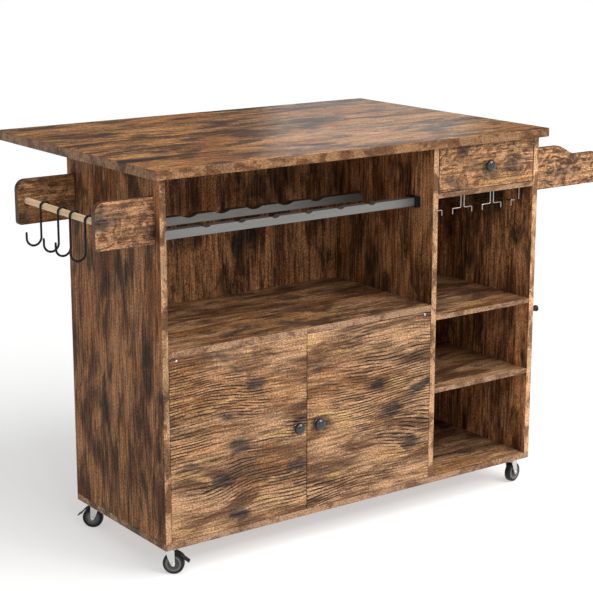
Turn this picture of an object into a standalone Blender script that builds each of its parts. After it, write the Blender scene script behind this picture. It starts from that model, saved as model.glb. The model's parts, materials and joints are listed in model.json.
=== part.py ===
"""A kitchen bar cart on four casters, with a drop leaf, two doors, a drawer and racks for wine and glasses.

Every length is in metres. The cabinet's own frame starts at its lower front left corner: x runs along the
front from the left side panel's outer face, y runs back from the front edges, and z runs up from the
underside of the bottom board. An empty places that frame so that the whole cart is centred over the world
origin and its wheels stand at height 0. Each moving piece hangs on an empty that lies on its joint's axis.
"""

import math

import bmesh
import bpy
from mathutils import Matrix, Vector, geometry

# Fits
TOUCH = 0.0003  # left between two pieces that touch
RUNNING = 0.0005  # left beside a piece that moves

# Cabinet boards
CABINET_LENGTH = 1.0664
CABINET_DEPTH = 0.398
CABINET_HEIGHT = 0.8138
BOARD = 0.015
THIN_BOARD = 0.012
BOARD_EDGE = 0.0006  # the rounding of a board's arrises
RIGHT_BAY_WIDTH = 0.300
CABINET_SHELF_TOP = 0.443
BAY_SHELF_TOPS = (0.2355, 0.415)
DRAWER_OPENING_HEIGHT = 0.1073
BACK_INSET = 0.010  # how far the back rail lies inside the side panels' rear edges
BACK_RAIL_HEIGHT = 0.200
BACK_PANEL_THICKNESS = 0.004

# Worktop and drop leaf
TOP_THICKNESS = 0.021
TOP_EDGE = 0.0012
SIDE_OVERHANG = 0.017
FRONT_OVERHANG = 0.017
SEAM_BEHIND_CABINET = 0.007
SEAM_GAP = 0.001
LEAF_DEPTH = 0.3195

# Folding brackets of the leaf
BRACKET_INSETS = (0.205, 0.1964)  # from the cabinet's left and right sides to each bracket's middle
BRACKET_WIDTH = 0.020
STRIP = 0.002
KNUCKLE_RADIUS = 0.0027
KNUCKLE_PIN_RADIUS = 0.0012
ARM_LENGTH = 0.200
STAY_REACH = 0.190  # from the hinge out to the stay's pivot
STAY_SLOPE = 30  # degrees below level with the leaf raised
STAY_TOE_REACH = 0.003  # how far behind the hinge the middle of the stay's toe lies
STAY_WIDTH = 0.008
STAY_THICKNESS = 0.003
STAY_PIN_RADIUS = 0.002
STAY_PIVOT_DROP = 0.005  # how far that pivot lies under the leaf
LEG_LENGTH = 0.152
CATCH_HEIGHT = 0.022

# Doors
DOOR_SIDE_GAP = 0.001
DOOR_GAP = 0.002
DOOR_PIVOT_INSET = 0.008
DOOR_PIVOT_DEPTH = 0.003

# Knobs
KNOB_RADIUS = 0.014
KNOB_REACH = 0.020
KNOB_STEM_RADIUS = 0.0055
DOOR_KNOB_FROM_GAP = 0.028
DOOR_KNOB_HEIGHT = 0.216
DRAWER_KNOB_DROP = 0.0538  # from the cabinet's top

# Drawer
DRAWER_FRONT_GAP = 0.0025
DRAWER_LIFT = 0.0012
DRAWER_REAR_SPACE = 0.0281
DRAWER_BOX_HEIGHT = 0.080
DRAWER_BOX_SIDE_GAP = 0.004
DRAWER_BOTTOM_THICKNESS = 0.004
DRAWER_BOTTOM_LIFT = 0.008

# Wine rack
BOTTLE_COUNT = 6
BOTTLE_PITCH = 0.090
RAIL_WIDTH = 0.020
RAIL_HEIGHT = 0.019
FRONT_RAIL_MIDDLE = 0.066  # y
FRONT_RAIL_DROP = 0.1418  # from the cabinet's top to the rail's base
REAR_RAIL_SPACE = 0.0884  # from the rail's middle to the back
REAR_RAIL_DROP = 0.1618
NECK_DIP_RADIUS = 0.017
NECK_DIP_DEPTH = 0.004
BODY_DIP_RADIUS = 0.040
BODY_DIP_DEPTH = 0.006
SOCKET_DEPTH = 0.010
SOCKET_WIDTH = 0.039
SOCKET_WALL = 0.003

# Glass rack
RACK_WIRE_RADIUS = 0.0016
RACK_FRONT = 0.033
RACK_REAR_SPACE = 0.0684
RACK_SIDE_SPACE = 0.00975
RACK_STEM_SPACING = 0.010
RACK_ARM = 0.030
RACK_ARM_DROP = 0.036  # from the board down to the arms
RACK_TIP_DROP = 0.014  # how far the front tips bend down from the arms
RACK_BEND = 0.003

# Towel holder
TOWEL_BRACKET_LENGTH = 0.140
TOWEL_BRACKET_HEIGHT = 0.100
TOWEL_BRACKET_DROP = 0.1383  # from the cabinet's top to the bracket's base
TOWEL_BRACKET_INSET = 0.019  # from the cabinet's front and rear
TOWEL_UPPER_CORNER = 0.022
TOWEL_LOWER_CORNER = 0.008
TOWEL_BAR_REACH = 0.117
TOWEL_BAR_DROP = 0.0858
TOWEL_BAR_RADIUS = 0.00725
TOWEL_BAR_SEAT = 0.005
HOOK_PLACES = (0.085, 0.150, 0.203, 0.2825)
HOOK_WIRE_RADIUS = 0.002
HOOK_UPPER_RADIUS = 0.0105
HOOK_LOWER_RADIUS = 0.0175
HOOK_DROP = 0.065  # from the bar's axis to the middle of the lower bend
HOOK_TIP_RISE = 0.012

# Spice rack
SPICE_REACH = 0.2195
SPICE_DROP = 0.1358  # from the cabinet's top to the tray's base
SPICE_TALL = 0.103
SPICE_LOW = 0.078
SPICE_CURVE_START = 0.080
SPICE_CURVE_END = 0.148
SPICE_CORNER = 0.010
SPICE_FRONT_INSET = 0.021
SPICE_LIP_HEIGHT = 0.045

# Side peg
PEG_RADIUS = 0.0065
PEG_HEAD_RADIUS = 0.0080
PEG_REACH = 0.029
PEG_PLACE = (0.0175, 0.380)  # y and z

# Casters
CASTER_INSET = 0.030
CASTER_PLATE = 0.042
CASTER_PLATE_THICKNESS = 0.002
CASTER_HOLE_RADIUS = 0.0023
CASTER_HOLE_PITCH = 0.030
CROWN_RADIUS = 0.0165
CROWN_HEIGHT = 0.0072
BRIDGE_THICKNESS = 0.0026
WHEEL_RADIUS = 0.024
WHEEL_WIDTH = 0.016
WHEEL_TRAIL = 0.006
WHEEL_HEADROOM = 0.0056  # from the tread up to the fork
TREAD_ROUND = 0.0022
HUB_WIDTH = 0.017
AXLE_RADIUS = 0.0028
FORK_SHEET = 0.002
FORK_SIDE_GAP = 0.0012
BRAKE_CLEARANCE = 0.0022
BRAKE_PIVOT_ANGLE = 78  # degrees above the trail direction, seen from the wheel's centre
BRAKE_BEND_ANGLE = 28
BRAKE_TAB_ANGLE = 6.5
BRAKE_TAB_LENGTH = 0.0116  # beyond the tread
CASTERS = {  # the corner, and the way the wheel trails, in degrees from +x
    "front_left": (0, 0, -41),
    "front_right": (1, 0, 13),
    "rear_left": (0, 1, 140),
    "rear_right": (1, 1, 25),
}
BRAKED = ("front_left", "rear_left")

# Worked out from the sizes above
RIGHT_INNER = CABINET_LENGTH - BOARD
PARTITION_RIGHT = RIGHT_INNER - RIGHT_BAY_WIDTH
PARTITION_LEFT = PARTITION_RIGHT - BOARD
SIDE_FOOT = BOARD + TOUCH
SIDE_HEAD = CABINET_HEIGHT - TOUCH
RAIL_REAR = CABINET_DEPTH - BACK_INSET
RAIL_FRONT = RAIL_REAR - BOARD
BACK_FRONT = RAIL_FRONT - TOUCH - BACK_PANEL_THICKNESS
INNER_DEPTH = BACK_FRONT - TOUCH
DRAWER_SUPPORT_TOP = CABINET_HEIGHT - DRAWER_OPENING_HEIGHT
FRONT_RAIL_BASE = CABINET_HEIGHT - FRONT_RAIL_DROP
REAR_RAIL_BASE = CABINET_HEIGHT - REAR_RAIL_DROP
REAR_RAIL_MIDDLE = INNER_DEPTH - REAR_RAIL_SPACE
RACK_REAR = INNER_DEPTH - RACK_REAR_SPACE
RACK_PITCH = (RIGHT_BAY_WIDTH - 2 * RACK_SIDE_SPACE) / 3
TOWEL_BRACKET_BASE = CABINET_HEIGHT - TOWEL_BRACKET_DROP
TOWEL_BAR_HEIGHT = CABINET_HEIGHT - TOWEL_BAR_DROP
SPICE_BASE = CABINET_HEIGHT - SPICE_DROP
CROWN_BASE = 2 * WHEEL_RADIUS + WHEEL_HEADROOM + BRIDGE_THICKNESS
CASTER_HEIGHT = CROWN_BASE + CROWN_HEIGHT + CASTER_PLATE_THICKNESS + 2 * TOUCH
SEAM = CABINET_DEPTH + SEAM_BEHIND_CABINET
HINGE_HEIGHT = CABINET_HEIGHT - KNUCKLE_RADIUS - TOUCH
BRACKET_PLACES = (BRACKET_INSETS[0], CABINET_LENGTH - BRACKET_INSETS[1])
STAY_LENGTH = (STAY_REACH - STAY_TOE_REACH) / math.cos(math.radians(STAY_SLOPE))
LEFT_REACH = max(
    TOUCH + TOWEL_BRACKET_LENGTH,
    TOWEL_BAR_REACH + HOOK_UPPER_RADIUS + 2 * HOOK_LOWER_RADIUS + HOOK_WIRE_RADIUS,
)
RIGHT_REACH = TOUCH + SPICE_REACH
FRONT_REACH = max(TOUCH + KNOB_REACH, FRONT_OVERHANG)
REAR_REACH = SEAM + SEAM_GAP / 2 + LEAF_DEPTH


def material(name, colour, roughness, metallic=0.0):
    made = bpy.data.materials.new(name)
    made.use_nodes = True
    shader = made.node_tree.nodes["Principled BSDF"]
    shader.inputs["Base Color"].default_value = (*colour, 1.0)
    shader.inputs["Roughness"].default_value = roughness
    shader.inputs["Metallic"].default_value = metallic
    return made


def empty(name, location, parent=None, turn=0.0):
    made = bpy.data.objects.new(name, None)
    bpy.context.scene.collection.objects.link(made)
    made.empty_display_size = 0.03
    made.location = location
    made.rotation_euler[2] = turn
    made.parent = parent
    return made


def piece(name, shape, finish, parent, origin=(0, 0, 0), smooth=False, edge=0.0):
    """One object from a bmesh drawn in the parent's frame, or in the cabinet's with origin the parent's place."""
    bmesh.ops.translate(shape, vec=-Vector(origin), verts=shape.verts)
    bmesh.ops.recalc_face_normals(shape, faces=shape.faces)
    mesh = bpy.data.meshes.new(name)
    shape.to_mesh(mesh)
    shape.free()
    if smooth:
        mesh.shade_smooth()
        mesh.set_sharp_from_angle(angle=math.radians(35))
    made = bpy.data.objects.new(name, mesh)
    bpy.context.scene.collection.objects.link(made)
    made.data.materials.append(finish)
    made.parent = parent
    if edge:
        bevel = made.modifiers.new("arris", "BEVEL")
        bevel.width = edge
        bevel.segments = 2
        bevel.limit_method = "ANGLE"
    return made


def block(low, high):
    shape = bmesh.new()
    bmesh.ops.create_cube(shape, size=1.0)
    low, high = Vector(low), Vector(high)
    size = high - low
    bmesh.ops.scale(shape, vec=size, verts=shape.verts)
    bmesh.ops.translate(shape, vec=(low + high) / 2, verts=shape.verts)
    return shape


def arc(centre, radius, start, end, steps):
    """Points round a centre from one angle to another, in degrees; radius is one number or one for each way."""
    across, up = radius if isinstance(radius, tuple) else (radius, radius)
    angles = [math.radians(start + (end - start) * i / steps) for i in range(steps + 1)]
    return [(centre[0] + across * math.cos(a), centre[1] + up * math.sin(a)) for a in angles]


def corner_bend(before, corner, after, radius, steps):
    """A round bend of the given radius, as points, in place of a sharp corner of a path."""
    before, corner, after = Vector(before), Vector(corner), Vector(after)
    back, on = (before - corner).normalized(), (after - corner).normalized()
    half_turn = (math.pi - back.angle(on)) / 2
    cut = radius * math.tan(half_turn)
    handle = radius * 4 / 3 * math.tan(half_turn / 2)
    start, end = corner + back * cut, corner + on * cut
    return geometry.interpolate_bezier(start, start - back * handle, end - on * handle, end, steps + 1)


def bent_path(corners, radius, steps=4):
    path = [Vector(corners[0])]
    for before, corner, after in zip(corners, corners[1:], corners[2:]):
        path += corner_bend(before, corner, after, radius, steps)
    return path + [Vector(corners[-1])]


def prism(outline, axis, start, end):
    """The outline, in the plane square to the axis, extruded along it; y or x comes first, z last."""
    place = {
        "X": lambda a, b: (start, a, b),
        "Y": lambda a, b: (a, start, b),
        "Z": lambda a, b: (a, b, start),
    }[axis]
    travel = {"X": (end - start, 0, 0), "Y": (0, end - start, 0), "Z": (0, 0, end - start)}[axis]
    shape = bmesh.new()
    face = shape.faces.new([shape.verts.new(place(a, b)) for a, b in outline])
    swept = bmesh.ops.extrude_face_region(shape, geom=[face])
    moved = [item for item in swept["geom"] if isinstance(item, bmesh.types.BMVert)]
    bmesh.ops.translate(shape, vec=travel, verts=moved)
    return shape


def turned(profile, steps, closed=False):
    """A profile of (radius, height) spun round +Z. A closed profile is a ring that leaves the axis free."""
    shape = bmesh.new()
    verts = [shape.verts.new((radius, 0, height)) for radius, height in profile]
    pairs = list(zip(verts, verts[1:])) + ([(verts[-1], verts[0])] if closed else [])
    edges = [shape.edges.new(pair) for pair in pairs]
    bmesh.ops.spin(
        shape, geom=verts + edges, cent=(0, 0, 0), axis=(0, 0, 1), angle=2 * math.pi, steps=steps,
        use_merge=True,
    )
    bmesh.ops.remove_doubles(shape, verts=shape.verts, dist=1e-6)
    return shape


def laid(shape, axis, place):
    """A turned shape laid along -Y, +Y or +X, its foot at the place."""
    turn = {
        "-Y": Matrix.Rotation(math.radians(90), 3, "X"),
        "+Y": Matrix.Rotation(math.radians(-90), 3, "X"),
        "+X": Matrix.Rotation(math.radians(90), 3, "Y"),
    }[axis]
    bmesh.ops.rotate(shape, cent=(0, 0, 0), matrix=turn, verts=shape.verts)
    bmesh.ops.translate(shape, vec=place, verts=shape.verts)
    return shape


def rod(radius, length, steps=24):
    return turned([(0, 0), (radius, 0), (radius, length), (0, length)], steps)


def wire(path, radius, resolution=2):
    """A round wire of the given radius along a path of points."""
    curve = bpy.data.curves.new("wire", "CURVE")
    curve.dimensions = "3D"
    curve.bevel_depth = radius
    curve.bevel_resolution = resolution
    curve.use_fill_caps = True
    spline = curve.splines.new("POLY")
    spline.points.add(len(path) - 1)
    for point, place in zip(spline.points, path):
        point.co = (*place, 1.0)
    holder = bpy.data.objects.new("wire", curve)
    mesh = bpy.data.meshes.new_from_object(holder)
    shape = bmesh.new()
    shape.from_mesh(mesh)
    bmesh.ops.remove_doubles(shape, verts=shape.verts, dist=1e-6)
    bpy.data.objects.remove(holder)
    bpy.data.curves.remove(curve)
    bpy.data.meshes.remove(mesh)
    return shape


def combined(base, others, operation):
    """The base joined to, or cut by, each of the others in turn."""
    helpers = []
    for shape in [base, *others]:
        mesh = bpy.data.meshes.new("helper")
        bmesh.ops.recalc_face_normals(shape, faces=shape.faces)
        shape.to_mesh(mesh)
        shape.free()
        helper = bpy.data.objects.new("helper", mesh)
        bpy.context.scene.collection.objects.link(helper)
        helpers.append(helper)
    for helper in helpers[1:]:
        boolean = helpers[0].modifiers.new("boolean", "BOOLEAN")
        boolean.operation = operation
        boolean.object = helper
    graph = bpy.context.evaluated_depsgraph_get()
    mesh = bpy.data.meshes.new_from_object(helpers[0].evaluated_get(graph))
    result = bmesh.new()
    result.from_mesh(mesh)
    bpy.data.meshes.remove(mesh)
    for helper in helpers:
        bpy.data.meshes.remove(helper.data)
    return result


def board(name, low, high, finish, parent, origin=(0, 0, 0), edge=BOARD_EDGE):
    return piece(name, block(low, high), finish, parent, origin, edge=edge)


def carcass(cabinet, finish):
    board("bottom_board", (0, 0, 0), (CABINET_LENGTH, CABINET_DEPTH, BOARD), finish, cabinet)
    for name, left in (("side_panel_left", 0), ("side_panel_right", RIGHT_INNER)):
        low = (left, 0, SIDE_FOOT)
        board(name, low, (left + BOARD, CABINET_DEPTH, SIDE_HEAD), finish, cabinet)
    board(
        "partition",
        (PARTITION_LEFT, 0, SIDE_FOOT),
        (PARTITION_RIGHT, INNER_DEPTH, SIDE_HEAD),
        finish,
        cabinet,
    )
    board(
        "cabinet_shelf",
        (BOARD + TOUCH, 0, CABINET_SHELF_TOP - BOARD),
        (PARTITION_LEFT - TOUCH, INNER_DEPTH, CABINET_SHELF_TOP),
        finish,
        cabinet,
    )
    thin_boards = {
        "bay_shelf_lower": BAY_SHELF_TOPS[0],
        "bay_shelf_upper": BAY_SHELF_TOPS[1],
        "drawer_support": DRAWER_SUPPORT_TOP,
    }
    for name, top in thin_boards.items():
        low = (PARTITION_RIGHT + TOUCH, 0, top - THIN_BOARD)
        board(name, low, (RIGHT_INNER - TOUCH, INNER_DEPTH, top), finish, cabinet)


def back(cabinet, finish):
    left, right = BOARD + TOUCH, RIGHT_INNER - TOUCH
    board(
        "back_panel",
        (left, BACK_FRONT, SIDE_FOOT),
        (right, BACK_FRONT + BACK_PANEL_THICKNESS, SIDE_HEAD),
        finish,
        cabinet,
        edge=0,
    )
    low = (left, RAIL_FRONT, SIDE_HEAD - BACK_RAIL_HEIGHT)
    board("back_rail", low, (right, RAIL_REAR, SIDE_HEAD), finish, cabinet)


def worktop(cabinet, leaf, finish):
    left, right = -SIDE_OVERHANG, CABINET_LENGTH + SIDE_OVERHANG
    top = CABINET_HEIGHT + TOP_THICKNESS
    board(
        "top_board",
        (left, -FRONT_OVERHANG, CABINET_HEIGHT),
        (right, SEAM - SEAM_GAP / 2, top),
        finish,
        cabinet,
        edge=TOP_EDGE,
    )
    leaf_front = SEAM + SEAM_GAP / 2
    board(
        "drop_leaf",
        (left, leaf_front, CABINET_HEIGHT),
        (right, leaf_front + LEAF_DEPTH, top),
        finish,
        leaf,
        leaf.location,
        edge=TOP_EDGE,
    )


def bracket_leg(x):
    """The leg on the back rail, with half of the hinge's knuckle, its pin, and the catch for the stay's toe."""
    left, right = x - BRACKET_WIDTH / 2, x + BRACKET_WIDTH / 2
    face = RAIL_REAR + TOUCH
    underside = HINGE_HEIGHT - KNUCKLE_RADIUS
    strip = block((left, face, CABINET_HEIGHT - LEG_LENGTH), (right, face + STRIP, underside + STRIP / 2))
    flange = block(
        (left + TOUCH, face + STRIP / 2, underside + TOUCH),
        (x - 2 * TOUCH, SEAM, underside + STRIP),
    )
    knuckle = laid(rod(KNUCKLE_RADIUS, BRACKET_WIDTH / 2 - TOUCH), "+X", (left, SEAM, HINGE_HEIGHT))
    pin_start = x - BRACKET_WIDTH / 4
    pin = laid(rod(KNUCKLE_PIN_RADIUS, right - pin_start, 12), "+X", (pin_start, SEAM, HINGE_HEIGHT))
    toe = stay_toe()
    catch = block(
        (left + TOUCH, face + STRIP / 2, toe[1] - CATCH_HEIGHT / 2),
        (right + TOUCH + STAY_THICKNESS, toe[0] - STAY_WIDTH / 2 - TOUCH, toe[1] + CATCH_HEIGHT / 2),
    )
    return combined(strip, [flange, knuckle, pin, catch], "UNION")


def stay_toe():
    """The y and z of the middle of the stay's lower end, just behind the catch, with the leaf raised."""
    drop = STAY_LENGTH * math.sin(math.radians(STAY_SLOPE))
    return SEAM + STAY_TOE_REACH, CABINET_HEIGHT - STAY_PIVOT_DROP - drop


def bracket_arm(x):
    """The arm under the leaf, with the other half of the knuckle and the lug that carries the stay."""
    left, right = x - BRACKET_WIDTH / 2, x + BRACKET_WIDTH / 2
    face = CABINET_HEIGHT - TOUCH
    clear = SEAM + 2 * KNUCKLE_RADIUS
    strip = block((left, clear, face - STRIP), (right, SEAM + ARM_LENGTH, face))
    neck = block((x + 2 * TOUCH, SEAM, face - STRIP + TOUCH), (right - TOUCH, clear + STRIP, face - TOUCH))
    knuckle = laid(rod(KNUCKLE_RADIUS, BRACKET_WIDTH / 2 - TOUCH), "+X", (x + TOUCH, SEAM, HINGE_HEIGHT))
    pivot = (SEAM + STAY_REACH, CABINET_HEIGHT - STAY_PIVOT_DROP)
    outline = [(pivot[0] + STAY_WIDTH, face - STRIP / 2), (pivot[0] - STAY_WIDTH, face - STRIP / 2)]
    outline += arc(pivot, STAY_WIDTH / 2, 180, 360, 8)
    lug = prism(outline, "X", right - STRIP, right - TOUCH)
    pin_length = STRIP + TOUCH + STAY_THICKNESS
    pin = laid(rod(STAY_PIN_RADIUS, pin_length, 16), "+X", (right - STRIP / 2, *pivot))
    joined = combined(strip, [neck, knuckle, lug, pin], "UNION")
    bore = laid(rod(KNUCKLE_PIN_RADIUS + TOUCH, BRACKET_WIDTH, 12), "+X", (x - TOUCH, SEAM, HINGE_HEIGHT))
    return combined(joined, [bore], "DIFFERENCE")


def stay(x):
    """The stay from the arm's pivot down to the catch, a flat bar with round ends."""
    start = x + BRACKET_WIDTH / 2 + TOUCH
    slope = math.radians(STAY_SLOPE)
    away = (-STAY_LENGTH * math.cos(slope), -STAY_LENGTH * math.sin(slope))
    outline = arc((0, 0), STAY_WIDTH / 2, STAY_SLOPE - 90, STAY_SLOPE + 90, 10)
    outline += arc(away, STAY_WIDTH / 2, STAY_SLOPE + 90, STAY_SLOPE + 270, 10)
    bar = prism(outline, "X", start, start + STAY_THICKNESS)
    bore = laid(rod(STAY_PIN_RADIUS + TOUCH, 3 * STAY_THICKNESS, 16), "+X", (start - STAY_THICKNESS, 0, 0))
    return combined(bar, [bore], "DIFFERENCE")


def leaf_brackets(cabinet, leaf, finish):
    pivot = (SEAM + STAY_REACH, CABINET_HEIGHT - STAY_PIVOT_DROP)
    for side, x in zip(("left", "right"), BRACKET_PLACES):
        piece(f"bracket_leg_{side}", bracket_leg(x), finish, cabinet)
        piece(f"bracket_arm_{side}", bracket_arm(x), finish, leaf, leaf.location)
        axis = empty(f"stay_{side}_axis", Vector((0, *pivot)) - leaf.location, leaf)
        piece(f"bracket_stay_{side}", stay(x), finish, axis)


def knob(place):
    """A round knob on a short stem, standing out to the front."""
    flare = KNOB_REACH * 0.28
    rim = KNOB_REACH * 0.62
    profile = [(0, 0), (KNOB_STEM_RADIUS, 0)]
    profile += arc((KNOB_RADIUS, flare), (KNOB_RADIUS - KNOB_STEM_RADIUS, rim - flare), 180, 90, 3)
    profile += arc((0, rim), (KNOB_RADIUS, KNOB_REACH - rim), 15, 90, 5)
    return laid(turned(profile, 24), "-Y", place)


def doors(cabinet, wood, black):
    """Two inset doors that meet in the middle, each on pivots near its outer edge."""
    middle = (BOARD + PARTITION_LEFT) / 2
    bottom = BOARD + RUNNING
    top = CABINET_SHELF_TOP - BOARD - RUNNING
    outer = {"left": BOARD + DOOR_SIDE_GAP, "right": PARTITION_LEFT - DOOR_SIDE_GAP}
    for side, inwards in (("left", 1), ("right", -1)):
        inner = middle - inwards * DOOR_GAP / 2
        pivot = (outer[side] + inwards * DOOR_PIVOT_INSET, DOOR_PIVOT_DEPTH, 0)
        axis = empty(f"door_{side}_axis", pivot, cabinet)
        low = (min(outer[side], inner), 0, bottom)
        high = (max(outer[side], inner), BOARD, top)
        board(f"door_{side}", low, high, wood, axis, pivot)
        place = (middle - inwards * DOOR_KNOB_FROM_GAP, -TOUCH, DOOR_KNOB_HEIGHT)
        piece(f"door_knob_{side}", knob(place), black, axis, pivot, smooth=True)


def drawer(cabinet, wood, black):
    """An inset front on an open box that runs on the board under it."""
    axis = empty("drawer_axis", (0, 0, 0), cabinet)
    left, right = PARTITION_RIGHT + DRAWER_FRONT_GAP, RIGHT_INNER - DRAWER_FRONT_GAP
    low = (left, 0, DRAWER_SUPPORT_TOP + DRAWER_LIFT)
    board("drawer_front", low, (right, BOARD, CABINET_HEIGHT - RUNNING), wood, axis)
    box_left = PARTITION_RIGHT + DRAWER_BOX_SIDE_GAP
    box_right = RIGHT_INNER - DRAWER_BOX_SIDE_GAP
    front = BOARD + TOUCH
    rear = INNER_DEPTH - DRAWER_REAR_SPACE
    base = DRAWER_SUPPORT_TOP + RUNNING
    head = base + DRAWER_BOX_HEIGHT
    for side, x in (("left", box_left), ("right", box_right - THIN_BOARD)):
        board(f"drawer_side_{side}", (x, front, base), (x + THIN_BOARD, rear, head), wood, axis)
    inner_left = box_left + THIN_BOARD + TOUCH
    inner_right = box_right - THIN_BOARD - TOUCH
    board("drawer_back", (inner_left, rear - THIN_BOARD, base), (inner_right, rear, head), wood, axis)
    floor = base + DRAWER_BOTTOM_LIFT
    board(
        "drawer_bottom",
        (inner_left, front, floor),
        (inner_right, rear - THIN_BOARD - TOUCH, floor + DRAWER_BOTTOM_THICKNESS),
        wood,
        axis,
        edge=0,
    )
    place = ((left + right) / 2, -TOUCH, CABINET_HEIGHT - DRAWER_KNOB_DROP)
    piece("drawer_knob", knob(place), black, axis, smooth=True)


def scalloped_rail(left, right, base, dip_radius, dip_depth):
    """A rail's outline seen from the front, with a shallow dip in its top for each bottle."""
    top = base + RAIL_HEIGHT
    bay_middle = (BOARD + PARTITION_LEFT) / 2
    half_angle = math.degrees(math.acos(1 - dip_depth / dip_radius))
    outline = [(left, base), (left, top)]
    for i in range(BOTTLE_COUNT):
        x = bay_middle + (i - (BOTTLE_COUNT - 1) / 2) * BOTTLE_PITCH
        centre = (x, top + dip_radius - dip_depth)
        outline += arc(centre, dip_radius, 270 - half_angle, 270 + half_angle, 6)
    return outline + [(right, top), (right, base)]


def wine_rack(cabinet, metal, black):
    """Two rails across the left bay: the necks lie on the front one and the bottles on the rear one."""
    half = RAIL_WIDTH / 2
    outline = scalloped_rail(
        BOARD + SOCKET_WALL + 2 * TOUCH,
        PARTITION_LEFT - SOCKET_WALL - 2 * TOUCH,
        FRONT_RAIL_BASE,
        NECK_DIP_RADIUS,
        NECK_DIP_DEPTH,
    )
    front_rail = prism(outline, "Y", FRONT_RAIL_MIDDLE - half, FRONT_RAIL_MIDDLE + half)
    piece("wine_rail_front", front_rail, metal, cabinet)
    outline = scalloped_rail(
        BOARD + TOUCH, PARTITION_LEFT - TOUCH, REAR_RAIL_BASE, BODY_DIP_RADIUS, BODY_DIP_DEPTH
    )
    rear_rail = prism(outline, "Y", REAR_RAIL_MIDDLE - half, REAR_RAIL_MIDDLE + half)
    piece("wine_rail_rear", rear_rail, metal, cabinet)
    base = FRONT_RAIL_BASE - SOCKET_WALL - TOUCH
    top = FRONT_RAIL_BASE + RAIL_HEIGHT + SOCKET_WALL + TOUCH
    starts = {"left": BOARD + TOUCH, "right": PARTITION_LEFT - TOUCH - SOCKET_DEPTH}
    for side, start in starts.items():
        front = FRONT_RAIL_MIDDLE - SOCKET_WIDTH / 2
        body = block((start, front, base), (start + SOCKET_DEPTH, front + SOCKET_WIDTH, top))
        inwards = start + SOCKET_WALL if side == "left" else start - SOCKET_WALL
        pocket = block(
            (inwards, FRONT_RAIL_MIDDLE - half - TOUCH, FRONT_RAIL_BASE - TOUCH),
            (inwards + SOCKET_DEPTH, FRONT_RAIL_MIDDLE + half + TOUCH, FRONT_RAIL_BASE + RAIL_HEIGHT + TOUCH),
        )
        piece(f"rail_socket_{side}", combined(body, [pocket], "DIFFERENCE"), black, cabinet)


def glass_rack(cabinet, metal):
    """Bent wire channels under the drawer's board: glasses slide in by their feet, upside down."""
    top = DRAWER_SUPPORT_TOP - THIN_BOARD - TOUCH - RACK_WIRE_RADIUS
    arm = DRAWER_SUPPORT_TOP - THIN_BOARD - RACK_ARM_DROP
    low = arm - RACK_TIP_DROP
    middle = (PARTITION_RIGHT + RIGHT_INNER) / 2
    hangers, tips = [], []
    for x, sides in ((-1.5, (1,)), (-0.5, (-1, 1)), (0.5, (-1, 1)), (1.5, (-1,))):
        for side in sides:
            inner = middle + x * RACK_PITCH + side * RACK_STEM_SPACING / 2
            outer = middle + x * RACK_PITCH + side * RACK_ARM
            corners = [(inner, RACK_FRONT, top), (inner, RACK_FRONT, arm), (outer, RACK_FRONT, arm)]
            corners += [(outer, RACK_REAR, arm), (inner, RACK_REAR, arm), (inner, RACK_REAR, top)]
            hangers.append(wire(bent_path(corners, RACK_BEND, 2), RACK_WIRE_RADIUS, 1))
            tip = outer - side * RACK_WIRE_RADIUS / 2
            tip_path = [(tip, RACK_FRONT + RACK_WIRE_RADIUS / 2, arm), (tip, RACK_FRONT, low)]
            tips.append(wire(tip_path, RACK_WIRE_RADIUS * 0.98, 1))
    reach = 1.5 * RACK_PITCH + RACK_STEM_SPACING / 4
    bars = []
    for y in (RACK_FRONT, RACK_REAR):
        ends = [(middle - reach, y, top), (middle + reach, y, top)]
        bars.append(wire(ends, RACK_WIRE_RADIUS * 1.02, 1))
    rack = combined(bars[0], [*hangers, *tips, bars[1]], "UNION")
    piece("glass_rack", rack, metal, cabinet, smooth=True)


def towel_holder(cabinet, wood, pale, black):
    """Two brackets, a dowel between them, and S-hooks that hang on the dowel."""
    outer = -TOUCH - TOWEL_BRACKET_LENGTH
    base, top = TOWEL_BRACKET_BASE, TOWEL_BRACKET_BASE + TOWEL_BRACKET_HEIGHT
    upper, lower = TOWEL_UPPER_CORNER, TOWEL_LOWER_CORNER
    outline = [(-TOUCH, base), (-TOUCH, top)]
    outline += arc((outer + upper, top - upper), upper, 90, 180, 7)
    outline += arc((outer + lower, base + lower), lower, 180, 270, 4)
    fronts = {
        "front": TOWEL_BRACKET_INSET,
        "rear": CABINET_DEPTH - TOWEL_BRACKET_INSET - BOARD,
    }
    bar_front = fronts["front"] + BOARD - TOWEL_BAR_SEAT
    bar_rear = fronts["rear"] + TOWEL_BAR_SEAT
    for side, front in fronts.items():
        body = prism(outline, "Y", front, front + BOARD)
        seat = laid(
            rod(TOWEL_BAR_RADIUS + TOUCH, bar_rear - bar_front + 2 * TOUCH),
            "+Y",
            (-TOWEL_BAR_REACH, bar_front - TOUCH, TOWEL_BAR_HEIGHT),
        )
        shape = combined(body, [seat], "DIFFERENCE")
        piece(f"towel_bracket_{side}", shape, wood, cabinet, edge=BOARD_EDGE)
    bar = laid(
        rod(TOWEL_BAR_RADIUS, bar_rear - bar_front), "+Y", (-TOWEL_BAR_REACH, bar_front, TOWEL_BAR_HEIGHT)
    )
    piece("towel_bar", bar, pale, cabinet, smooth=True)
    for number, y in enumerate(HOOK_PLACES, 1):
        axis = empty(f"hook_{number}_axis", (-TOWEL_BAR_REACH, y, TOWEL_BAR_HEIGHT), cabinet)
        piece(f"hook_{number}", wire(hook_path(), HOOK_WIRE_RADIUS), black, axis, smooth=True)


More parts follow.
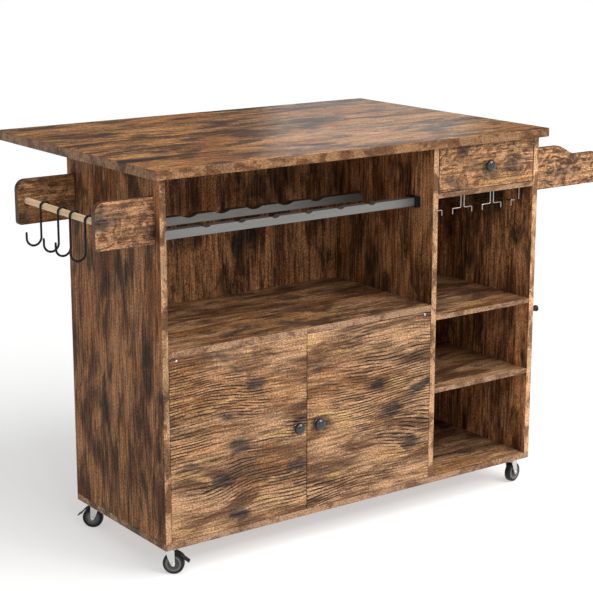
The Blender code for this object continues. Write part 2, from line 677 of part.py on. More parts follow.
def hook_path():
    """An S-hook round the bar's axis: over the bar, down its outer side, and out and up again."""
    hang = HOOK_UPPER_RADIUS - HOOK_WIRE_RADIUS - TOWEL_BAR_RADIUS - TOUCH
    lower = (-HOOK_UPPER_RADIUS - HOOK_LOWER_RADIUS, -HOOK_DROP)
    path = arc((0, -hang), HOOK_UPPER_RADIUS, -25, 180, 9)
    path += arc(lower, HOOK_LOWER_RADIUS, 0, -180, 9)
    path.append((lower[0] - HOOK_LOWER_RADIUS, lower[1] + HOOK_TIP_RISE))
    return [(x, 0, z) for x, z in path]


def spice_rack(cabinet, wood):
    """An open tray on the right side: two shaped ends, a floor and an outer lip."""
    start = CABINET_LENGTH + TOUCH
    outer = start + SPICE_REACH
    low_top = SPICE_BASE + SPICE_LOW
    outline = [(start, SPICE_BASE), (start, SPICE_BASE + SPICE_TALL)]
    steps = 8
    for i in range(steps + 1):
        share = i / steps
        x = start + SPICE_CURVE_START + (SPICE_CURVE_END - SPICE_CURVE_START) * share
        outline.append((x, low_top + (SPICE_TALL - SPICE_LOW) * (1 + math.cos(math.pi * share)) / 2))
    outline += arc((outer - SPICE_CORNER, low_top - SPICE_CORNER), SPICE_CORNER, 90, 0, 4)
    outline.append((outer, SPICE_BASE))
    fronts = {"front": SPICE_FRONT_INSET, "rear": CABINET_DEPTH - SPICE_FRONT_INSET - THIN_BOARD}
    for side, front in fronts.items():
        shape = prism(outline, "Y", front, front + THIN_BOARD)
        piece(f"spice_rack_end_{side}", shape, wood, cabinet, edge=BOARD_EDGE)
    inner_front = fronts["front"] + THIN_BOARD + TOUCH
    inner_rear = fronts["rear"] - TOUCH
    lip = outer - THIN_BOARD
    board(
        "spice_rack_floor",
        (start, inner_front, SPICE_BASE),
        (lip - TOUCH, inner_rear, SPICE_BASE + THIN_BOARD),
        wood,
        cabinet,
    )
    board(
        "spice_rack_lip",
        (lip, inner_front, SPICE_BASE),
        (outer, inner_rear, SPICE_BASE + SPICE_LIP_HEIGHT),
        wood,
        cabinet,
    )


def side_peg(cabinet, black):
    """A short plastic peg with a wider head, on the right side panel."""
    neck = PEG_REACH * 0.72
    profile = [(0, 0), (PEG_RADIUS, 0), (PEG_RADIUS * 0.92, neck)]
    profile += arc((PEG_HEAD_RADIUS - 0.002, neck + 0.003), (0.002, 0.002), -45, 0, 3)
    profile += arc((PEG_HEAD_RADIUS - 0.003, PEG_REACH - 0.003), 0.003, 0, 90, 4)
    profile.append((0, PEG_REACH))
    place = (CABINET_LENGTH + TOUCH, *PEG_PLACE)
    piece("side_peg", laid(turned(profile, 16), "+X", place), black, cabinet, smooth=True)


def caster_plate(x, y):
    """The plate under the bottom board, with its four screw holes."""
    half = CASTER_PLATE / 2
    top = -TOUCH
    plate = block((x - half, y - half, top - CASTER_PLATE_THICKNESS), (x + half, y + half, top))
    holes = []
    for across in (-1, 1):
        for along in (-1, 1):
            hole = rod(CASTER_HOLE_RADIUS, 3 * CASTER_PLATE_THICKNESS, 12)
            offset = (across * CASTER_HOLE_PITCH / 2, along * CASTER_HOLE_PITCH / 2)
            bottom = top - 2 * CASTER_PLATE_THICKNESS
            bmesh.ops.translate(hole, vec=(x + offset[0], y + offset[1], bottom), verts=hole.verts)
            holes.append(hole)
    return combined(plate, holes, "DIFFERENCE")


def caster_fork():
    """The crown, the two legs and the axle, drawn from the floor up with the trail along +x."""
    crown_top = CROWN_BASE + CROWN_HEIGHT
    crown = turned(
        [
            (0, CROWN_BASE),
            (CROWN_RADIUS * 0.85, CROWN_BASE),
            (CROWN_RADIUS, CROWN_BASE + CROWN_HEIGHT * 0.35),
            (CROWN_RADIUS, crown_top - CROWN_HEIGHT * 0.25),
            (CROWN_RADIUS * 0.9, crown_top),
            (0, crown_top),
        ],
        20,
    )
    inner = HUB_WIDTH / 2 + FORK_SIDE_GAP
    outer = inner + FORK_SHEET
    reach = CROWN_RADIUS * 0.8
    bridge = block(
        (-reach, -outer + TOUCH, CROWN_BASE - BRIDGE_THICKNESS + TOUCH),
        (reach, outer - TOUCH, CROWN_BASE + TOUCH),
    )
    outline = [(-reach * 0.95, CROWN_BASE + TOUCH / 2)]
    outline += arc((WHEEL_TRAIL, WHEEL_RADIUS), AXLE_RADIUS * 2.3, 200, 340, 8)
    outline.append((reach * 0.95, CROWN_BASE + TOUCH / 2))
    legs = [prism(outline, "Y", inner, outer), prism(outline, "Y", -outer, -inner)]
    head = outer + TOUCH * 4
    axle = turned(
        [
            (0, -head),
            (AXLE_RADIUS * 1.6, -head),
            (AXLE_RADIUS * 1.6, -outer + TOUCH),
            (AXLE_RADIUS, -outer + TOUCH),
            (AXLE_RADIUS, outer - TOUCH),
            (AXLE_RADIUS * 1.6, outer - TOUCH),
            (AXLE_RADIUS * 1.6, head),
            (0, head),
        ],
        16,
    )
    axle = laid(axle, "+Y", (WHEEL_TRAIL, 0, WHEEL_RADIUS))
    return combined(crown, [bridge, *legs, axle], "UNION")


def caster_wheel():
    """The wheel round its own centre, its axis along y: a tread, a recessed web and a hub with a bore."""
    bore = AXLE_RADIUS + TOUCH
    half_hub, half_tread = HUB_WIDTH / 2, WHEEL_WIDTH / 2
    web = half_tread * 0.72
    half = [(bore, half_hub), (WHEEL_RADIUS * 0.30, half_hub), (WHEEL_RADIUS * 0.36, web)]
    half += [(WHEEL_RADIUS * 0.74, web), (WHEEL_RADIUS * 0.79, half_tread)]
    half += arc((WHEEL_RADIUS - TREAD_ROUND, half_tread - TREAD_ROUND), TREAD_ROUND, 80, 0, 2)
    profile = [(radius, -height) for radius, height in half]
    profile += [(radius, height) for radius, height in reversed(half)]
    return laid(turned(profile, 24, closed=True), "+Y", (0, 0, 0))


def brake_pivot():
    """The place of the brake's pivot in the fork's frame."""
    angle = math.radians(BRAKE_PIVOT_ANGLE)
    radius = WHEEL_RADIUS + BRAKE_CLEARANCE + FORK_SHEET / 2
    return Vector((WHEEL_TRAIL + radius * math.cos(angle), 0, WHEEL_RADIUS + radius * math.sin(angle)))


def brake_lever():
    """A curved plate over the tread that ends in a tab to press with a toe."""
    centre = (WHEEL_TRAIL, WHEEL_RADIUS)
    inner = WHEEL_RADIUS + BRAKE_CLEARANCE
    outer = inner + FORK_SHEET
    tab = arc(centre, WHEEL_RADIUS + BRAKE_TAB_LENGTH, BRAKE_TAB_ANGLE, BRAKE_TAB_ANGLE + 4, 1)
    outline = arc(centre, inner, BRAKE_PIVOT_ANGLE, BRAKE_BEND_ANGLE, 8)
    outline += tab + arc(centre, outer, BRAKE_BEND_ANGLE + 3, BRAKE_PIVOT_ANGLE, 8)
    width = HUB_WIDTH / 2
    plate = prism(outline, "Y", -width, width)
    barrel = laid(rod(FORK_SHEET * 1.1, 2 * width + FORK_SIDE_GAP, 16), "+Y", (0, -width - FORK_SIDE_GAP / 2, 0))
    bmesh.ops.translate(barrel, vec=brake_pivot(), verts=barrel.verts)
    return combined(plate, [barrel], "UNION")


def casters(cabinet, chrome, tyre, black):
    for place, (right, rear, trail) in CASTERS.items():
        x = CASTER_INSET + right * (CABINET_LENGTH - 2 * CASTER_INSET)
        y = CASTER_INSET + rear * (CABINET_DEPTH - 2 * CASTER_INSET)
        piece(f"caster_plate_{place}", caster_plate(x, y), chrome, cabinet)
        swivel = empty(f"swivel_{place}_axis", (x, y, -CASTER_HEIGHT), cabinet, math.radians(trail))
        piece(f"caster_fork_{place}", caster_fork(), chrome, swivel, smooth=True)
        hub = empty(f"wheel_{place}_axis", (WHEEL_TRAIL, 0, WHEEL_RADIUS), swivel)
        piece(f"caster_wheel_{place}", caster_wheel(), tyre, hub, smooth=True)
        if place in BRAKED:
            pivot = brake_pivot()
            hinge = empty(f"brake_{place}_axis", pivot, swivel)
            piece(f"brake_lever_{place}", brake_lever(), black, hinge, pivot, smooth=True)


def main():
    for old in list(bpy.data.objects):
        bpy.data.objects.remove(old)
    rustic = material("rustic_wood", (0.26, 0.13, 0.065), 0.45)
    top_wood = material("top_wood", (0.30, 0.15, 0.07), 0.30)
    pale_wood = material("pale_wood", (0.72, 0.52, 0.33), 0.55)
    steel = material("rail_metal", (0.62, 0.62, 0.60), 0.35, 0.8)
    chrome = material("chrome", (0.75, 0.75, 0.74), 0.15, 1.0)
    zinc = material("zinc_steel", (0.55, 0.55, 0.56), 0.35, 1.0)
    black_metal = material("black_metal", (0.02, 0.02, 0.02), 0.35, 0.6)
    black_plastic = material("black_plastic", (0.02, 0.02, 0.02), 0.35)
    knob_black = material("knob_black", (0.012, 0.012, 0.013), 0.12)
    tyre = material("wheel_black", (0.03, 0.03, 0.032), 0.45)

    place = (
        (LEFT_REACH - CABINET_LENGTH - RIGHT_REACH) / 2,
        (FRONT_REACH - REAR_REACH) / 2,
        CASTER_HEIGHT,
    )
    cabinet = empty("cabinet_frame", place)
    leaf = empty("leaf_axis", (0, SEAM, HINGE_HEIGHT), cabinet)
    carcass(cabinet, rustic)
    back(cabinet, rustic)
    worktop(cabinet, leaf, top_wood)
    leaf_brackets(cabinet, leaf, zinc)
    doors(cabinet, rustic, knob_black)
    drawer(cabinet, rustic, knob_black)
    wine_rack(cabinet, steel, black_plastic)
    glass_rack(cabinet, chrome)
    towel_holder(cabinet, rustic, pale_wood, black_metal)
    spice_rack(cabinet, rustic)
    side_peg(cabinet, black_plastic)
    casters(cabinet, chrome, tyre, black_plastic)


main()
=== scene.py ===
import json
import math

import bmesh
import bpy
import numpy as np
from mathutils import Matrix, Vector


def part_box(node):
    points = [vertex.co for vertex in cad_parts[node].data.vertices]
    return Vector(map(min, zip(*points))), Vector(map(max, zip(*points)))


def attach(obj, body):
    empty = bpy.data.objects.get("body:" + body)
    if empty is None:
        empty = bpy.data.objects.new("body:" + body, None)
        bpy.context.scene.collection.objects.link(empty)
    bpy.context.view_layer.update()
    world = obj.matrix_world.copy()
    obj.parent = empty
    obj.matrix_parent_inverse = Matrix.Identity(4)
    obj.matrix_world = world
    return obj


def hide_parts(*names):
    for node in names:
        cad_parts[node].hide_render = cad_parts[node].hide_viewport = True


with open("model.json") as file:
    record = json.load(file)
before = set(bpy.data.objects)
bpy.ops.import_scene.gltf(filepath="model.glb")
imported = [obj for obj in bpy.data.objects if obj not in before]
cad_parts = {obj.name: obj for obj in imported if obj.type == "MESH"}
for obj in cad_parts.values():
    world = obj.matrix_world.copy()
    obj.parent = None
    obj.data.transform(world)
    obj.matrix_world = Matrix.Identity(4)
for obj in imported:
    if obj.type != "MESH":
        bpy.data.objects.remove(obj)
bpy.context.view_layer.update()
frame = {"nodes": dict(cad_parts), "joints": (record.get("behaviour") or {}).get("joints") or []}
corner = np.array(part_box("bottom_board")[0])  # the cabinet's lower front left corner
jointAt = {j["name"]: (j.get("pos_m"), j["axis"]) for j in frame["joints"]}
bpy.context.scene.view_settings.view_transform = "Standard"
print("frame loaded:", len(frame["nodes"]), "nodes")


class Graph:
    # a material's node tree, with one short call for each kind of node
    def __init__(self, name):
        self.material = bpy.data.materials.new(name)
        self.material.use_nodes = True
        self.tree = self.material.node_tree
        self.shader = self.tree.nodes["Principled BSDF"]

    def feed(self, socket, value):
        # a socket takes either another node's output or a plain value
        if isinstance(value, bpy.types.NodeSocket):
            self.tree.links.new(value, socket)
        else:
            socket.default_value = value

    def put(self, name, value):
        self.feed(self.shader.inputs[name], value)

    def coordinates(self, output="Object"):
        return self.tree.nodes.new("ShaderNodeTexCoord").outputs[output]

    def split(self, vector):
        node = self.tree.nodes.new("ShaderNodeSeparateXYZ")
        self.feed(node.inputs[0], vector)
        return node.outputs

    def join(self, x, y, z):
        node = self.tree.nodes.new("ShaderNodeCombineXYZ")
        for socket, value in zip(node.inputs, (x, y, z)):
            self.feed(socket, value)
        return node.outputs[0]

    def math(self, operation, a, b=0.0):
        node = self.tree.nodes.new("ShaderNodeMath")
        node.operation = operation
        self.feed(node.inputs[0], a)
        self.feed(node.inputs[1], b)
        return node.outputs[0]

    def vector(self, operation, a, b=(0.0, 0.0, 0.0)):
        node = self.tree.nodes.new("ShaderNodeVectorMath")
        node.operation = operation
        self.feed(node.inputs[0], a)
        self.feed(node.inputs[1], b)
        return node.outputs["Vector"]

    def noise(self, vector, scale=1.0, detail=3.0, roughness=0.55, distortion=0.0):
        node = self.tree.nodes.new("ShaderNodeTexNoise")
        self.feed(node.inputs["Vector"], vector)
        node.inputs["Scale"].default_value = scale
        node.inputs["Detail"].default_value = detail
        node.inputs["Roughness"].default_value = roughness
        node.inputs["Distortion"].default_value = distortion
        return node.outputs["Fac"]

    def cells(self, vector):
        node = self.tree.nodes.new("ShaderNodeTexVoronoi")
        self.feed(node.inputs["Vector"], vector)
        node.inputs["Scale"].default_value = 1.0
        return node.outputs["Distance"], node.outputs["Color"]

    def ramp(self, value, low, high, first=0.0, last=1.0):
        # a smooth step of the value between low and high
        node = self.tree.nodes.new("ShaderNodeMapRange")
        node.interpolation_type = "SMOOTHSTEP"
        for socket, given in zip(node.inputs, (value, low, high, first, last)):
            self.feed(socket, given)
        return node.outputs[0]

    def mix(self, share, a, b, blend="MIX"):
        node = self.tree.nodes.new("ShaderNodeMix")
        node.data_type = "RGBA"
        node.blend_type = blend
        sockets = [s for s in node.inputs if s.enabled]
        for socket, value in zip(sockets, (share, a, b)):
            self.feed(socket, (*value, 1.0) if isinstance(value, tuple) and len(value) == 3 else value)
        return [s for s in node.outputs if s.enabled][0]

    def bump(self, height, distance, strength):
        node = self.tree.nodes.new("ShaderNodeBump")
        node.inputs["Strength"].default_value = strength
        node.inputs["Distance"].default_value = distance
        self.feed(node.inputs["Height"], height)
        self.put("Normal", node.outputs[0])


woodLook = {
    "dark": (0.014, 0.009, 0.007),
    "smoke": (0.060, 0.045, 0.036),  # the grey brown of a smudge
    "brown": (0.105, 0.048, 0.023),
    "tan": (0.385, 0.215, 0.112),
    "gold": (0.45, 0.265, 0.108),
    "orange": (0.30, 0.125, 0.040),
    "band": (0.30, 0.175, 0.102),
    "warm": 0.45,
    "golden": 0.5,
    "smudge": 0.9,
    "smudgeAt": 0.56,  # lower makes more of them
    "smudgeSize": (6.0, 9.0),  # along and across the grain, per metre
    "lines": 0.7,  # the thin dark saw lines
    "linePitch": 0.0052,
    "fibre": 0.42,
    "dashes": 0.52,
    "figure": 0.0,  # burl in place of straight grain
    "knots": 0.8,
    "roughness": 0.42,
    "gleam": 0.15,
    # light scales a wood's whole colour, giving lighter and darker copies of one wood for parts lit more or
    # less: painted light and painted shade
    "light": 1.0,
    "bands": "",  # the axes whose faces carry plain edging
    "blotch": 0.8,  # the rounder dark patches
    "blotchSize": (8.0, 13.0),  # cells along and across the grain, per metre
    "seed": (0.0, 0.0, 0.0),
}


def rusticWood(name, grain, **changes):
    # u runs along the grain, v and w across it. Tone, warmth and smudges are slow noise past a threshold,
    # fibres and dashes are noise drawn out along u, saw lines are a sine of v bent by slow noise, and knots
    # and blotches are the middles of cells. The layers are mixed from pale to dark
    look = {**woodLook, **changes}
    g = Graph(name)
    order = {"X": (0, 1, 2), "Z": (2, 1, 0), "door": (0, 2, 1), "Y": (1, 0, 2)}[grain]
    local = g.split(g.vector("SUBTRACT", g.coordinates(), tuple(corner)))
    u, v, w = (local[i] for i in order)
    u, v, w = (g.math("ADD", part, shift) for part, shift in zip((u, v, w), look["seed"]))

    def at(along, across):
        parts = zip((u, v, w), (along, across, across))
        return g.join(*(g.math("MULTIPLY", part, scale) for part, scale in parts))

    fibre = g.noise(at(11.0, 170.0), detail=4.0, roughness=0.7)
    dashes = g.noise(at(210.0, 360.0), detail=2.0, roughness=0.6)
    tone = g.noise(at(4.0, 15.0), detail=5.0, roughness=0.62, distortion=0.7)
    figure = look["figure"]
    if figure:
        swirl = g.noise(at(26.0, 34.0), detail=4.0, distortion=2.2)
        tone = g.math("ADD", g.math("MULTIPLY", tone, 1 - figure), g.math("MULTIPLY", swirl, figure))
    tone = g.math("ADD", tone, g.math("MULTIPLY", g.math("SUBTRACT", fibre, 0.5), 0.25))
    paint = g.mix(g.ramp(tone, 0.40, 0.60), look["brown"], look["tan"])
    warm = g.noise(at(3.0, 7.0), detail=4.0, roughness=0.6, distortion=0.8)
    paint = g.mix(g.ramp(warm, 0.50, 0.62, 0.0, look["warm"]), paint, look["orange"])
    golden = g.noise(at(7.0, 18.0), detail=3.0, distortion=1.0)
    paint = g.mix(g.ramp(golden, 0.54, 0.68, 0.0, look["golden"]), paint, look["gold"])

    # saw lines, bent slowly, broken up, and stronger in some regions than in others
    slow = g.math("SUBTRACT", g.noise(at(2.2, 4.0), detail=2.0), 0.5)
    wander = g.math("SUBTRACT", g.noise(at(14.0, 60.0), detail=2.0), 0.5)
    bent = g.math("ADD", v, g.math("ADD", g.math("MULTIPLY", slow, 0.11), g.math("MULTIPLY", wander, 0.006)))
    wave = g.math("SINE", g.math("MULTIPLY", bent, 2 * math.pi / look["linePitch"]))
    broken = g.ramp(g.noise(at(16.0, 110.0), detail=2.0), 0.38, 0.50)
    region = g.ramp(g.noise(at(3.4, 7.0), detail=3.0, distortion=0.6), 0.42, 0.58, 0.12, 1.0)
    lines = g.math("MULTIPLY", g.math("MULTIPLY", g.ramp(wave, -0.05, 0.75), broken), region)

    # smudges: scattered ones, ones drawn out along the grain, and round blotches with a ragged rim
    along, across = look["smudgeSize"]
    edge = g.math("MULTIPLY", g.math("SUBTRACT", g.math("ADD", fibre, dashes), 1.0), 0.16)
    limit = look["smudgeAt"]
    cloud = g.math("ADD", g.noise(at(along, across), detail=5.0, roughness=0.6, distortion=0.6), edge)
    drawn = g.math("ADD", g.noise(at(along * 0.7, across * 3.0), detail=4.0, roughness=0.6), edge)
    clouds = g.ramp(cloud, limit, limit + 0.11)
    trails = g.ramp(drawn, limit + 0.03, limit + 0.12, 0.0, 0.75)
    smudges = g.math("MAXIMUM", clouds, trails)
    ragged = g.math("MULTIPLY", g.math("SUBTRACT", g.noise(at(34.0, 60.0), detail=4.0), 0.5), 0.42)
    middle, chance = g.cells(at(*look["blotchSize"]))
    blotch = g.ramp(g.math("ADD", middle, ragged), 0.14, 0.36, look["blotch"], 0.0)
    present = g.ramp(g.split(chance)[1], 0.45, 0.50)  # about half of the cells have one
    smudges = g.math("MAXIMUM", smudges, g.math("MULTIPLY", blotch, present))
    if look["knots"]:
        distance, pick = g.cells(at(7.0, 11.0))
        chosen = g.ramp(g.split(pick)[0], 0.70, 0.72)
        rings = g.math("MULTIPLY", g.math("SINE", g.math("MULTIPLY", distance, 90.0)), 0.02)
        eye = g.ramp(g.math("ADD", g.math("ADD", distance, rings), edge), 0.06, 0.17, look["knots"], 0.0)
        smudges = g.math("MAXIMUM", smudges, g.math("MULTIPLY", eye, chosen))
    smoke = g.mix(g.ramp(fibre, 0.35, 0.65), look["dark"], look["smoke"])
    paint = g.mix(g.math("MULTIPLY", smudges, look["smudge"]), paint, smoke)
    paint = g.mix(g.math("MULTIPLY", lines, look["lines"]), paint, look["dark"])

    streaks = g.ramp(fibre, 0.30, 0.66, 1 - look["fibre"] * 1.3, 1 + look["fibre"] * 0.7)
    fine = g.ramp(dashes, 0.30, 0.70, 1 - look["dashes"], 1 + look["dashes"])
    grainy = g.math("MULTIPLY", streaks, fine)
    paint = g.mix(1.0, paint, g.join(grainy, grainy, grainy), "MULTIPLY")
    if look["bands"]:
        normal = g.split(g.coordinates("Normal"))
        facing = 0.0
        for axis in look["bands"]:
            facing = g.math("MAXIMUM", facing, g.math("ABSOLUTE", normal["XYZ".index(axis)]))
        patches = g.noise(at(16.0, 24.0), detail=5.0, roughness=0.6, distortion=0.8)
        band = g.mix(g.ramp(patches, 0.44, 0.60, 0.0, 0.85), look["band"], look["brown"])
        band = g.mix(g.math("MULTIPLY", smudges, 0.45), band, look["smoke"])
        flecks = g.ramp(dashes, 0.32, 0.68, 0.55, 1.55)
        band = g.mix(1.0, band, g.join(flecks, flecks, flecks), "MULTIPLY")
        paint = g.mix(g.ramp(facing, 0.55, 0.75), paint, band)
    # painted light above 1 and painted shade below 1: the whole colour scaled by this copy's light factor
    light = look["light"]
    paint = g.mix(1.0, paint, (light, light, light), "MULTIPLY")
    g.put("Base Color", paint)
    gloss = g.math("ADD", look["roughness"] - 0.07, g.math("MULTIPLY", fibre, 0.14))
    g.put("Roughness", g.math("ADD", gloss, g.math("MULTIPLY", lines, 0.08)))
    relief = g.math("MULTIPLY", g.math("ADD", fibre, dashes), 0.35)
    g.bump(g.math("SUBTRACT", relief, g.math("MULTIPLY", lines, 0.8)), 0.0003, 0.55)
    g.shader.inputs["Specular IOR Level"].default_value = look["gleam"]
    return g.material


def give(material, *names):
    for name in names:
        node = frame["nodes"][name]
        node.data.materials.clear()
        node.data.materials.append(material)


def dressWood():
    panel = {"brown": (0.080, 0.034, 0.016), "tan": (0.300, 0.142, 0.064), "gold": (0.36, 0.165, 0.060),
             "orange": (0.27, 0.095, 0.030), "smoke": (0.042, 0.026, 0.017), "band": (0.38, 0.22, 0.12),
             "bands": "Y", "lines": 0.22, "fibre": 0.5, "smudgeSize": (5.0, 13.0), "gleam": 0.04}
    give(rusticWood("side panel wood", "Z", **panel), "side_panel_left")
    # the partition and the right panel are the side panel's wood scaled by 1.15 and 1.5, painted light on
    # their faces
    give(rusticWood("partition wood", "Z", light=1.15, seed=(3.7, 1.9, 0.0), **panel), "partition")
    give(rusticWood("right panel wood", "Z", light=1.5, seed=(5.2, 0.4, 0.0), **panel), "side_panel_right")
    shelf = {"bands": "Y", "lines": 0.25, "fibre": 0.4}
    give(rusticWood("bottom wood", "X", seed=(0.3, 0.1, 0.7), **shelf), "bottom_board")
    give(rusticWood("shelf wood", "X", seed=(2.3, 4.1, 1.7), **shelf), "cabinet_shelf")
    for number, name in enumerate(("bay_shelf_lower", "bay_shelf_upper", "drawer_support")):
        give(rusticWood(f"bay shelf wood {number + 1}", "X", seed=(number, 0.7, 0.2), **shelf), name)
    door = {"brown": (0.125, 0.058, 0.027), "smoke": (0.050, 0.040, 0.034), "lines": 1.0, "linePitch": 0.0070,
            "smudgeAt": 0.59, "blotch": 0.95, "knots": 0.6, "golden": 0.65}
    give(rusticWood("door wood left", "door", seed=(0.4, 0.1, 0.0), **door), "door_left")
    give(rusticWood("door wood right", "door", seed=(7.1, 2.0, 0.0), **door), "door_right")
    burl = {"tan": (0.44, 0.235, 0.115), "figure": 0.75, "lines": 0.12, "golden": 0.75, "warm": 0.5,
            "knots": 0.5}
    give(rusticWood("drawer wood", "door", seed=(2.1, 0.4, 0.0), **burl), "drawer_front")
    give(rusticWood("drawer box wood", "Y", lines=0.15, smudge=0.5, seed=(4.1, 0.4, 0.0)),
         "drawer_side_left", "drawer_side_right", "drawer_back", "drawer_bottom")
    darkEdge = {"bands": "XZ", "band": (0.11, 0.048, 0.024)}
    give(rusticWood("tray wood", "door", seed=(3.3, 1.2, 0.0), **burl, **darkEdge),
         "spice_rack_end_front", "spice_rack_end_rear")
    give(rusticWood("tray floor wood", "Y", lines=0.2, seed=(0.8, 2.2, 0.0)),
         "spice_rack_floor", "spice_rack_lip")
    bracket = {**burl, "brown": (0.12, 0.052, 0.024), "tan": (0.36, 0.18, 0.085), "golden": 0.35,
               "smudgeAt": 0.53}
    give(rusticWood("bracket wood", "door", seed=(5.3, 0.2, 0.0), **bracket, **darkEdge),
         "towel_bracket_front")
    # the rear bracket is the front bracket's wood scaled to 0.66, painted shade
    give(rusticWood("rear bracket wood", "door", seed=(1.9, 3.2, 0.0), light=0.66, **bracket, **darkEdge),
         "towel_bracket_rear")
    top = {"brown": (0.085, 0.032, 0.012), "tan": (0.53, 0.240, 0.078), "orange": (0.48, 0.180, 0.048),
           "smoke": (0.035, 0.020, 0.013), "band": (0.24, 0.125, 0.060), "bands": "XY", "lines": 0.5,
           "linePitch": 0.011, "smudgeSize": (2.6, 12.0), "smudgeAt": 0.575, "warm": 0.7, "fibre": 0.6,
           "roughness": 0.24, "gleam": 0.12}
    give(rusticWood("worktop wood", "X", seed=(0.0, 0.9, 0.0), **top), "top_board")
    # the leaf is the worktop's wood scaled to 0.92, painted shade
    give(rusticWood("leaf wood", "X", seed=(1.4, 3.9, 0.0), light=0.92, **top), "drop_leaf")
    # the back panel and the back rail are woods scaled to 0.95 and 0.8, painted shade at the back of the
    # cabinet
    back = {**panel, "bands": "", "light": 0.95}
    give(rusticWood("back wood", "Z", seed=(0.5, 0.9, 3.0), **back), "back_panel")
    give(rusticWood("back rail wood", "X", light=0.8, lines=0.2, seed=(5.5, 2.9, 1.0)), "back_rail")


def plainMaterial(name, base, roughness, metallic=0.0, spread=0.12, grain=400.0, depth=0.00005, coat=0.0,
                  gleam=0.5, stretch=(1, 1, 1)):
    # a moulded, painted or plated surface: slight blotches in colour and gloss over a fine bump
    g = Graph(name)
    place = g.vector("MULTIPLY", g.coordinates(), stretch)
    fine = g.noise(place, grain, 3.0)
    broad = g.noise(place, grain * 0.08, 3.0)
    low = tuple(c * (1 - spread) for c in base)
    high = tuple(min(1.0, c * (1 + spread)) for c in base)
    g.put("Base Color", g.mix(g.ramp(broad, 0.35, 0.65), low, high))
    both = g.math("ADD", g.math("MULTIPLY", fine, 0.6), g.math("MULTIPLY", broad, 0.4))
    g.put("Roughness", g.ramp(both, 0.35, 0.65, roughness * 0.8, roughness * 1.25))
    g.put("Metallic", metallic)
    g.put("Coat Weight", coat)
    g.shader.inputs["Coat Roughness"].default_value = 0.04
    g.shader.inputs["Specular IOR Level"].default_value = gleam
    g.bump(fine, depth, 0.5)
    return g.material


railMetal = plainMaterial("rail aluminium", (0.185, 0.180, 0.172), 0.38, 0.6, spread=0.10,
                          stretch=(0.05, 1, 1))
chrome = plainMaterial("plated steel", (0.60, 0.59, 0.57), 0.16, 1.0, spread=0.07)
rackChrome = plainMaterial("rack wire chrome", (0.42, 0.40, 0.38), 0.18, 1.0, spread=0.08)
zinc = plainMaterial("zinc plate", (0.40, 0.40, 0.41), 0.33, 1.0, spread=0.14, grain=300.0)
blackPlastic = plainMaterial("black plastic", (0.010, 0.010, 0.011), 0.38, gleam=0.25)
hookBlack = plainMaterial("hook paint", (0.006, 0.006, 0.007), 0.30, gleam=0.2)
knobBlack = plainMaterial("knob lacquer", (0.004, 0.004, 0.0045), 0.08, coat=0.6, depth=0.00001)
tyreBlack = plainMaterial("tyre rubber", (0.010, 0.010, 0.011), 0.50, gleam=0.25, grain=700.0, depth=0.0001)
webGrey = plainMaterial("wheel web", (0.040, 0.037, 0.034), 0.42, grain=500.0)
ringGrey = plainMaterial("wheel ring", (0.12, 0.115, 0.11), 0.35, grain=500.0)


def paleWood():
    # a planed beech dowel: straight fibres along y, small dark flecks
    g = Graph("pale dowel wood")
    place = g.coordinates()
    fibre = g.noise(g.vector("MULTIPLY", place, (700.0, 14.0, 700.0)), detail=3.0)
    fleck = g.noise(g.vector("MULTIPLY", place, (900.0, 260.0, 900.0)))
    paint = g.mix(g.ramp(fibre, 0.35, 0.65), (0.56, 0.36, 0.20), (0.76, 0.56, 0.36))
    paint = g.mix(g.ramp(fleck, 0.60, 0.70, 0.0, 0.55), paint, (0.36, 0.20, 0.10))
    g.put("Base Color", paint)
    g.put("Roughness", g.ramp(fibre, 0.3, 0.7, 0.42, 0.58))
    g.bump(fibre, 0.0001, 0.4)
    return g.material


def dressHardware():
    give(railMetal, "wine_rail_front", "wine_rail_rear")
    for name in frame["nodes"]:
        if name.startswith("caster_plate"):
            give(chrome, name)
        elif name.startswith("bracket"):
            give(zinc, name)
        elif name.startswith("rail_socket"):
            give(blackPlastic, name)


dressWood()
dressHardware()
print("materials given")


class Maker:
    # gathers grids of points into one mesh, each grid a closed shell of its own
    def __init__(self):
        self.points, self.faces, self.paints, self.count = [], [], [], 0

    def grid(self, rows, paint=0):
        # rows has shape (rows, points of a ring, 3). The rings are joined in turn, and both ends are capped.
        # paint is one material number, or one for each band between two rings
        rows = np.asarray(rows, float)
        high, wide = rows.shape[:2]
        index = self.count + np.arange(high * wide).reshape(high, wide)
        nextOne = np.roll(index, -1, axis=1)
        quads = np.stack([index[:-1], nextOne[:-1], nextOne[1:], index[1:]], axis=-1).reshape(-1, 4)
        faces = quads.tolist() + [index[0, ::-1].tolist(), index[-1].tolist()]
        self.points.append(rows.reshape(-1, 3))
        self.faces += faces
        if np.isscalar(paint):
            self.paints += [paint] * len(faces)
        else:
            self.paints += list(np.repeat(paint, wide)) + [paint[0], paint[-1]]
        self.count += high * wide
        return self

    def finish(self, name, body, slotName, materials, *replaced):
        mesh = bpy.data.meshes.new(name)
        mesh.from_pydata(np.concatenate(self.points).tolist(), [], self.faces)
        for material in materials:
            mesh.materials.append(material)
        mesh.polygons.foreach_set("material_index", np.array(self.paints, np.int32))
        shape = bmesh.new()
        shape.from_mesh(mesh)
        bmesh.ops.remove_doubles(shape, verts=shape.verts, dist=2e-7)  # closes a ring of no radius
        bmesh.ops.recalc_face_normals(shape, faces=shape.faces)
        shape.to_mesh(mesh)
        shape.free()
        mesh.shade_smooth()
        mesh.set_sharp_from_angle(angle=math.radians(38))
        piece = bpy.data.objects.new(name, mesh)
        bpy.context.scene.collection.objects.link(piece)
        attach(piece, body)
        if replaced:
            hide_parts(*replaced)


